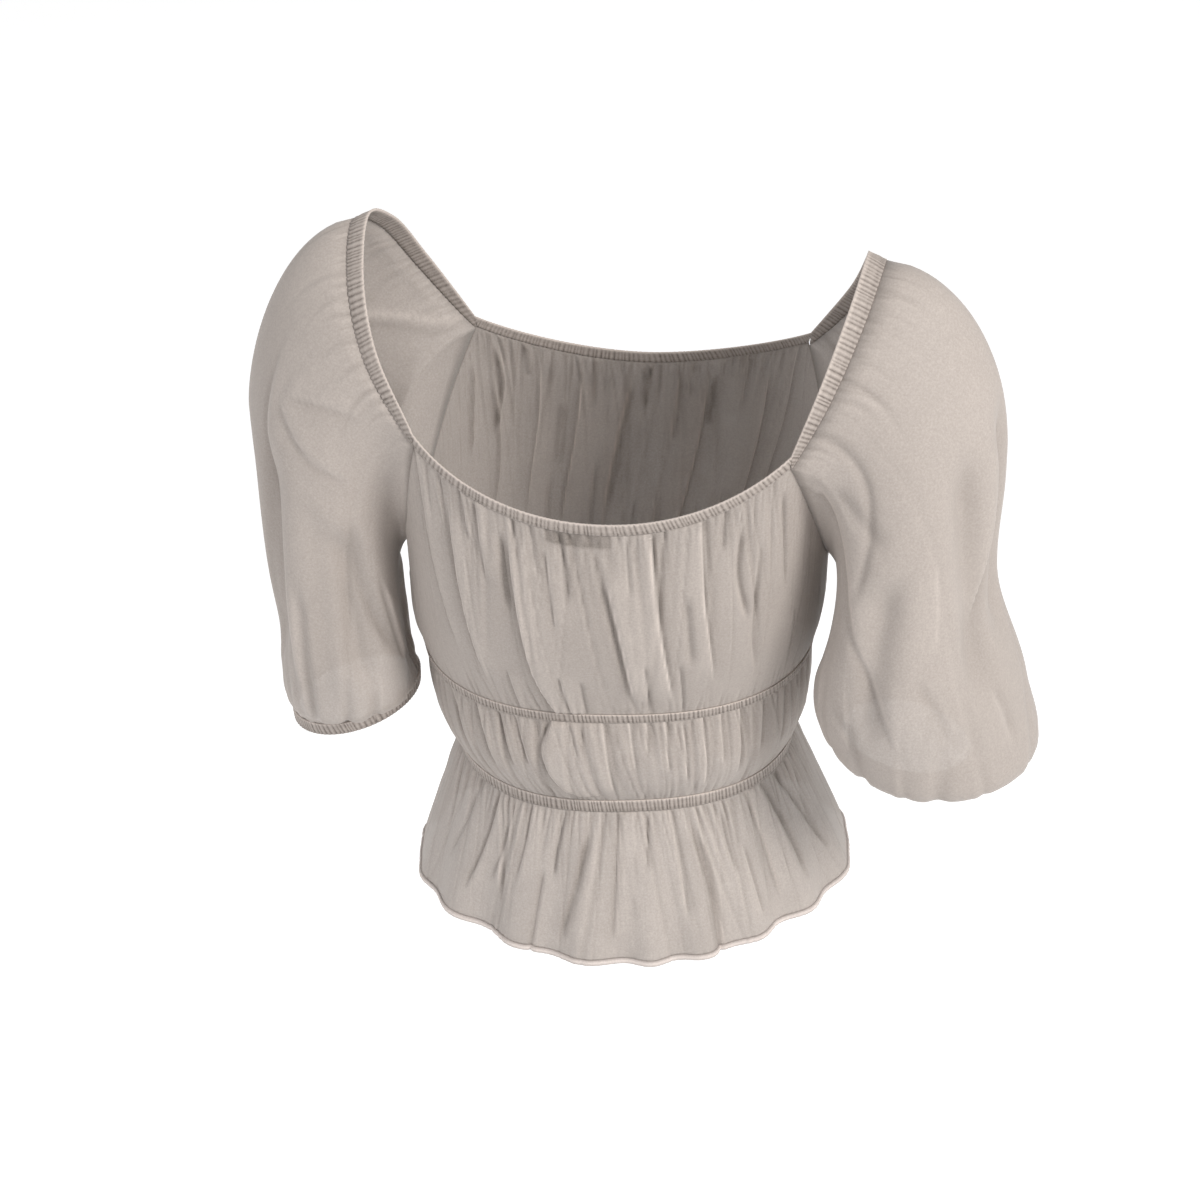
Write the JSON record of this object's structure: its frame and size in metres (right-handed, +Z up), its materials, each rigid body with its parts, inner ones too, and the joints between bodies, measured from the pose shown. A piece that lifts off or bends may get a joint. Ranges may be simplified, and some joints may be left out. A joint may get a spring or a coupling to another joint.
{
  "type": "off-the-shoulder blouse",
  "caption": "Sheer off-the-shoulder cropped blouse with puffed elbow sleeves, gathered bodice, elastic rib and waist lines and a flared peplum, hollow in its worn shape.",
  "frame": {"origin": "midway between the tops of the two shoulder casings, where the wearer's shoulders carry the blouse", "axes": "+Z up, -Y towards the front of the blouse, +X towards the wearer's left"},
  "size_m": [0.504, 0.2653, 0.4812],
  "materials": {
    "chiffon": "sheer soft plain weave with a faint sheen",
    "casing": "the same cloth doubled and gathered over elastic",
    "label": "plain matt woven tape"
  },
  "bodies": {
    "root": {"back_bodice": "chiffon", "front_bodice": "chiffon", "back_midriff": "chiffon", "front_midriff": "chiffon", "back_peplum": "chiffon", "front_peplum": "chiffon", "left_sleeve": "chiffon", "right_sleeve": "chiffon", "back_neck_casing": "casing", "front_neck_casing": "casing", "left_shoulder_casing": "casing", "right_shoulder_casing": "casing", "back_rib_casing": "casing", "front_rib_casing": "casing", "back_waist_casing": "casing", "front_waist_casing": "casing", "left_cuff_casing": "casing", "right_cuff_casing": "casing", "back_hem_roll": "chiffon", "front_hem_roll": "chiffon", "neck_label": "label"}
  },
  "joints": []
}
